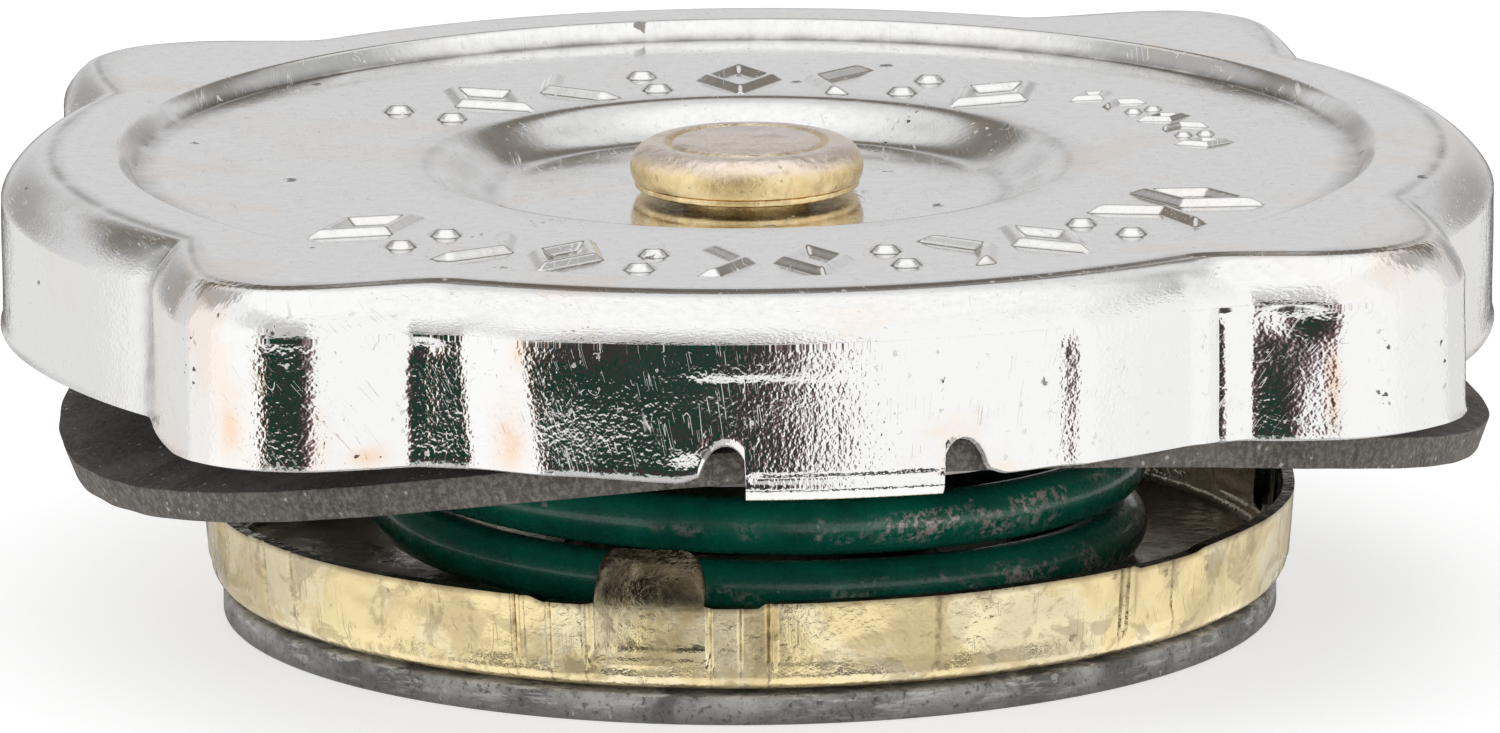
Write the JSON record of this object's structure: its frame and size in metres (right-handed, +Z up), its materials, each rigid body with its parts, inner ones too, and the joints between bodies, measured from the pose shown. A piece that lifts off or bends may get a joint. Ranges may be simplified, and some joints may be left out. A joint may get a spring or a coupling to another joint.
{
  "type": "radiator cap",
  "caption": "Pressed bayonet radiator cap with eared shell, bowed neck gasket, sprung pressure valve cup and central vacuum valve.",
  "frame": {"origin": "on the cap's axis at the underside of the pressure seal, where the cap stands", "axes": "+Z up along the rivet's axis, through the top of the shell; the bayonet lugs point along -Y and +Y"},
  "size_m": [0.0588, 0.0588, 0.0186],
  "materials": {
    "nickel_plate": "bright nickel plate, pitted and lightly scratched",
    "yellow_zinc": "worn yellow passivate on steel",
    "gasket_fibre": "matt cut rubber and cork",
    "grey_steel": "dull pressed steel",
    "green_enamel": "dark green gloss enamel",
    "pale_brass": "pale pressed brass, creased and smudged",
    "seal_rubber": "matt moulded rubber with bloom"
  },
  "bodies": {
    "shell": {"cap_shell": "nickel_plate", "centre_rivet": "yellow_zinc", "spacer_collar": "grey_steel", "friction_spring": "grey_steel", "neck_gasket": "gasket_fibre"},
    "valve_carrier": {"spring_seat": "grey_steel", "bell_housing": "grey_steel", "tail_washer": "grey_steel", "pressure_spring": "green_enamel"},
    "pressure_valve": {"valve_cup": "pale_brass", "pressure_seal": "seal_rubber", "valve_spool": "grey_steel", "guide_disc": "grey_steel", "vacuum_spring": "grey_steel"},
    "vacuum_valve": {"vacuum_disc": "pale_brass", "vacuum_seal": "seal_rubber", "vacuum_stem": "pale_brass", "stem_clip": "grey_steel"}
  },
  "joints": [
    {"name": "valve_swivel", "type": "hinge", "parent": "shell", "child": "valve_carrier", "pos_m": [0, 0, 0.009], "axis": [0, 0, 1], "continuous": true},
    {"name": "pressure_lift", "type": "slide", "parent": "valve_carrier", "child": "pressure_valve", "axis": [0, 0, 1], "range_m": [0, 0.0005], "stiffness_N_per_m": 1500, "springref_m": -0.00025, "deforming": ["pressure_spring"]},
    {"name": "vacuum_drop", "type": "slide", "parent": "pressure_valve", "child": "vacuum_valve", "axis": [0, 0, -1], "range_m": [0, 0.0012], "stiffness_N_per_m": 300, "springref_m": -0.00002, "deforming": ["vacuum_spring"]}
  ]
}
